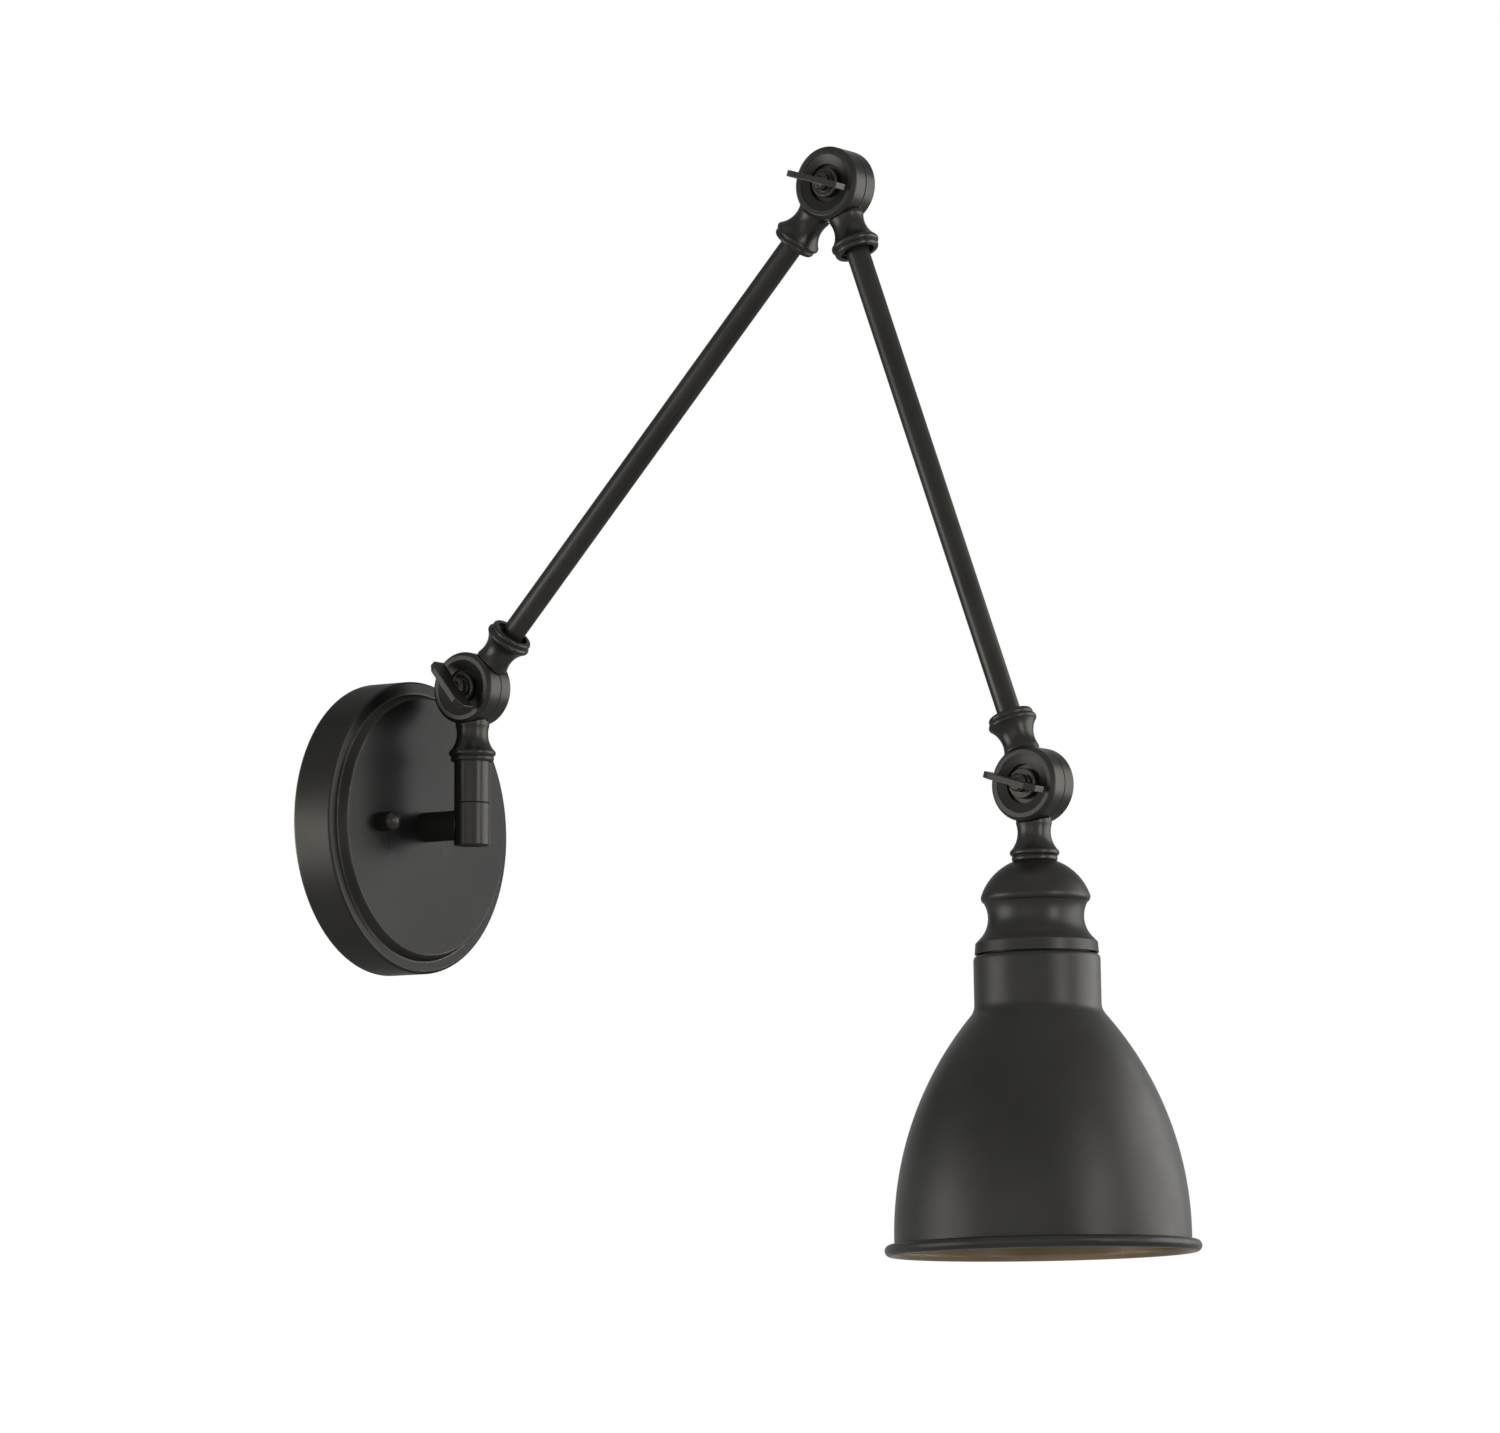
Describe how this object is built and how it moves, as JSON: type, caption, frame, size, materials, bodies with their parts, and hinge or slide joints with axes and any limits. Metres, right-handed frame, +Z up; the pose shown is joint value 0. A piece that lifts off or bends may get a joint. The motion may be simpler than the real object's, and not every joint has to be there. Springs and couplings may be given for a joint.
{
  "type": "swing arm wall sconce",
  "caption": "Wall lamp with a stepped round wall plate, a swivelling post, jointed tubular arms with thumbscrew hinges and a bell shade with a rolled rim.",
  "frame": {"origin": "centre of the wall plate on the wall plane", "axes": "the wall is the plane y = 0 with +Y into the wall, the lamp reaches out along -Y, +Z is up, and the hinge axes run along X with the thumbscrews on the -X side"},
  "size_m": [0.1416, 0.443, 0.5138],
  "materials": {
    "bronze_finish": "satin dark bronze",
    "zinc_steel": "zinc plated",
    "brass": "plain brass",
    "black_phenolic": "moulded phenolic",
    "lead_insulation": "smooth insulation",
    "washer_fibre": "pressed fibre",
    "ground_green": "green dyed plating"
  },
  "bodies": {
    "wall_mount": {"wall_plate": "bronze_finish", "mounting_crossbar": "zinc_steel", "mounting_studs": "zinc_steel", "stud_locknuts": "zinc_steel", "ball_nuts": "bronze_finish", "ground_screw": "ground_green", "stub_tube": "bronze_finish", "stub_washer": "zinc_steel", "stub_nut": "zinc_steel", "swivel_base": "bronze_finish", "swivel_cap": "bronze_finish", "swivel_stop_pin": "zinc_steel", "swivel_spindle": "zinc_steel", "swivel_washer": "zinc_steel", "swivel_ring_nut": "zinc_steel"},
    "post": {"swivel_sleeve": "bronze_finish", "post_knuckle": "bronze_finish", "post_leads": "lead_insulation", "base_stop_pin": "zinc_steel"},
    "lower_arm": {"lower_arm_base_knuckle": "bronze_finish", "lower_arm_tube": "bronze_finish", "lower_arm_elbow_knuckle": "bronze_finish", "lower_arm_leads": "lead_insulation", "base_friction_washer": "washer_fibre", "elbow_stop_pin": "zinc_steel"},
    "upper_arm": {"upper_arm_elbow_knuckle": "bronze_finish", "upper_arm_tube": "bronze_finish", "upper_arm_head_knuckle": "bronze_finish", "upper_arm_leads": "lead_insulation", "elbow_friction_washer": "washer_fibre", "head_stop_pin": "zinc_steel"},
    "lamp_head": {"shade_knuckle": "bronze_finish", "socket_cup": "bronze_finish", "shade": "bronze_finish", "lampholder": "black_phenolic", "screw_shell": "brass", "centre_contact": "brass", "socket_nipple": "zinc_steel", "socket_locknut": "zinc_steel", "shade_ring": "black_phenolic", "shade_leads": "lead_insulation", "head_friction_washer": "washer_fibre", "terminal_screws": "zinc_steel"},
    "base_screw": {"base_thumbscrew": "bronze_finish"},
    "elbow_screw": {"elbow_thumbscrew": "bronze_finish"},
    "head_screw": {"head_thumbscrew": "bronze_finish"}
  },
  "joints": [
    {"name": "swing", "type": "hinge", "parent": "wall_mount", "child": "post", "pos_m": [0, -0.0522, 0], "axis": [0, 0, 1], "range_deg": [-85, 85]},
    {"name": "base_tilt", "type": "hinge", "parent": "post", "child": "lower_arm", "pos_m": [0, -0.0522, 0.0645], "axis": [-1, 0, 0], "range_deg": [-46.5, 43.4]},
    {"name": "elbow", "type": "hinge", "parent": "lower_arm", "child": "upper_arm", "pos_m": [0, -0.26108, 0.28538], "axis": [-1, 0, 0], "range_deg": [-7, 116]},
    {"name": "head_tilt", "type": "hinge", "parent": "upper_arm", "child": "lamp_head", "pos_m": [0, -0.36779, 0.00072], "axis": [1, 0, 0], "range_deg": [-90, 90]},
    {"name": "base_screw_turn", "type": "hinge", "parent": "lower_arm", "child": "base_screw", "pos_m": [0, -0.0522, 0.0645], "axis": [-1, 0, 0], "range_deg": [0, 180]},
    {"name": "elbow_screw_turn", "type": "hinge", "parent": "upper_arm", "child": "elbow_screw", "pos_m": [0, -0.26108, 0.28538], "axis": [-1, 0, 0], "range_deg": [0, 180]},
    {"name": "head_screw_turn", "type": "hinge", "parent": "lamp_head", "child": "head_screw", "pos_m": [0, -0.36779, 0.00072], "axis": [-1, 0, 0], "range_deg": [0, 180]}
  ]
}
